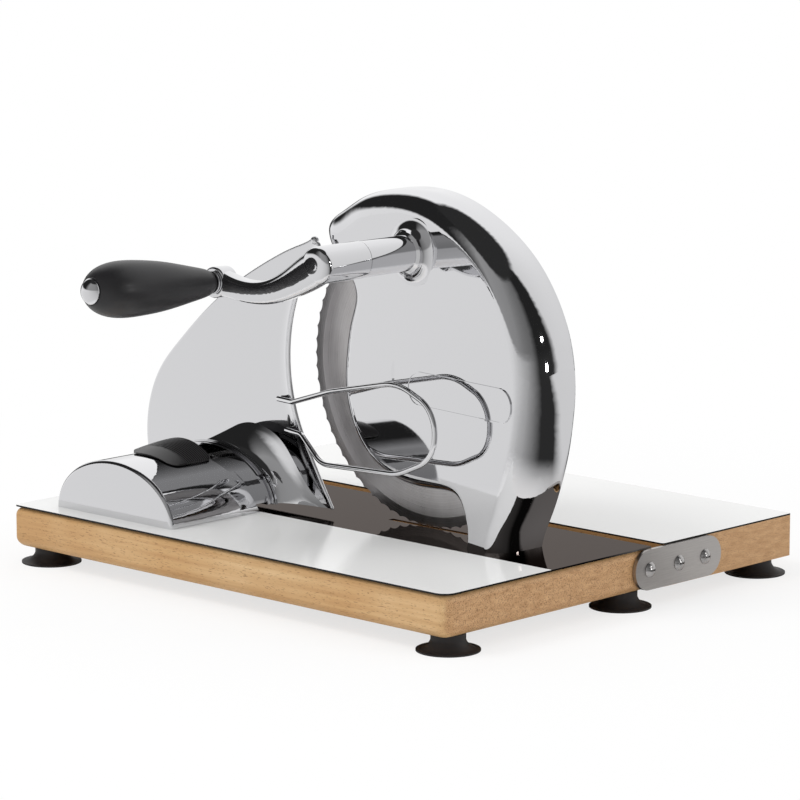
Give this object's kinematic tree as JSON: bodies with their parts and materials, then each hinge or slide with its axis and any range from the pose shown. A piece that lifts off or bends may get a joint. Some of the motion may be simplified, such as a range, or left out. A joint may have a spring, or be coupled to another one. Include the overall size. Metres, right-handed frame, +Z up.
{
  "type": "bread slicer",
  "caption": "Hand-cranked bread slicer: round wavy blade behind a chrome dish on a two-part wooden base, with a sliding fence.",
  "frame": {"origin": "on the floor under the feet, in the middle of the whole width, and of the whole length from the handle's end to the rear board's edge", "axes": "+Z up; +X to the right for whoever turns the crank, along the base's length; +Y away from the crank, towards the loaf board"},
  "size_m": [0.3698, 0.3882, 0.2389],
  "materials": {
    "wood": "satin",
    "laminate": "smooth",
    "polished_steel": "polished",
    "satin_steel": "satin",
    "chrome": "polished",
    "screw_steel": "satin",
    "blade_steel": "fine ground",
    "gear_steel": "machined",
    "bearing_bronze": "machined",
    "black_plastic": "satin",
    "grey_casting": "smooth",
    "rubber": "matte"
  },
  "bodies": {
    "base": {"front_board": "wood", "front_laminate": "laminate", "slide_plate": "polished_steel", "pivot_screws": "screw_steel", "front_foot_screws": "screw_steel", "foot_front_right": "rubber", "foot_front_left": "rubber", "foot_middle_right": "rubber", "foot_middle_left": "rubber", "housing_shell": "chrome", "badge_plate": "chrome", "gear_cover": "gear_steel", "gear_cover_screws": "screw_steel", "housing_bolts": "screw_steel", "housing_washers": "screw_steel", "blade_axle": "gear_steel", "axle_clip": "screw_steel", "shaft_bush_outer": "bearing_bronze", "shaft_bush_inner": "bearing_bronze", "adjuster_housing": "chrome", "adjuster_base": "grey_casting", "adjuster_screws": "screw_steel", "guide_rods": "screw_steel", "lever_pin": "screw_steel", "lever_spring": "screw_steel"},
    "loaf_board": {"rear_board": "wood", "rear_laminate": "laminate", "hinge_strap_left": "satin_steel", "hinge_strap_right": "satin_steel", "strap_screws": "screw_steel", "rear_foot_screws": "screw_steel", "foot_rear_right": "rubber", "foot_rear_left": "rubber"},
    "blade_unit": {"blade_gear": "gear_steel", "blade_bush": "bearing_bronze", "blade": "blade_steel", "blade_clamp": "blade_steel", "blade_screws": "screw_steel"},
    "crank": {"crank_shaft": "gear_steel", "crank_pinion": "gear_steel", "pinion_pin": "screw_steel", "crank_arm": "chrome", "crank_set_screw": "screw_steel", "handle_spindle": "chrome", "handle_nut": "chrome"},
    "handle": {"handle_grip": "black_plastic", "handle_ferrule": "chrome"},
    "fence": {"fence_plate": "chrome", "fence_bracket": "chrome", "fence_ring": "chrome", "fence_rivets": "screw_steel", "wire_guard": "chrome", "rod_bushes": "bearing_bronze", "lock_rack": "screw_steel"},
    "lever": {"release_lever": "black_plastic"}
  },
  "joints": [
    {"name": "crank_turn", "type": "hinge", "parent": "base", "child": "crank", "pos_m": [0.058, -0.09352, 0.2044], "axis": [0, 1, 0], "continuous": true},
    {"name": "blade_spin", "type": "hinge", "parent": "base", "child": "blade_unit", "pos_m": [0.049, 0.01248, 0.1307], "axis": [0, 1, 0], "continuous": true},
    {"name": "handle_spin", "type": "hinge", "parent": "crank", "child": "handle", "pos_m": [-0.024, -0.09352, 0.1869], "axis": [0, -0.9986, 0.0523], "continuous": true},
    {"name": "fence_slide", "type": "slide", "parent": "base", "child": "fence", "axis": [0, 1, 0], "range_m": [-0.004, 0.008]},
    {"name": "release_lever_tilt", "type": "hinge", "parent": "base", "child": "lever", "pos_m": [-0.106, -0.06892, 0.0671], "axis": [1, 0, 0], "range_deg": [0, 6], "stiffness_Nm_per_rad": 0.05, "springref_deg": -28.65, "deforming": ["lever_spring"]},
    {"name": "loaf_board_fold", "type": "hinge", "parent": "base", "child": "loaf_board", "pos_m": [0, 0.05798, 0.0232], "axis": [1, 0, 0], "range_deg": [0, 90]}
  ],
  "couplings": [
    {"joint": "blade_spin", "follows": "crank_turn", "ratio": -0.57143}
  ]
}
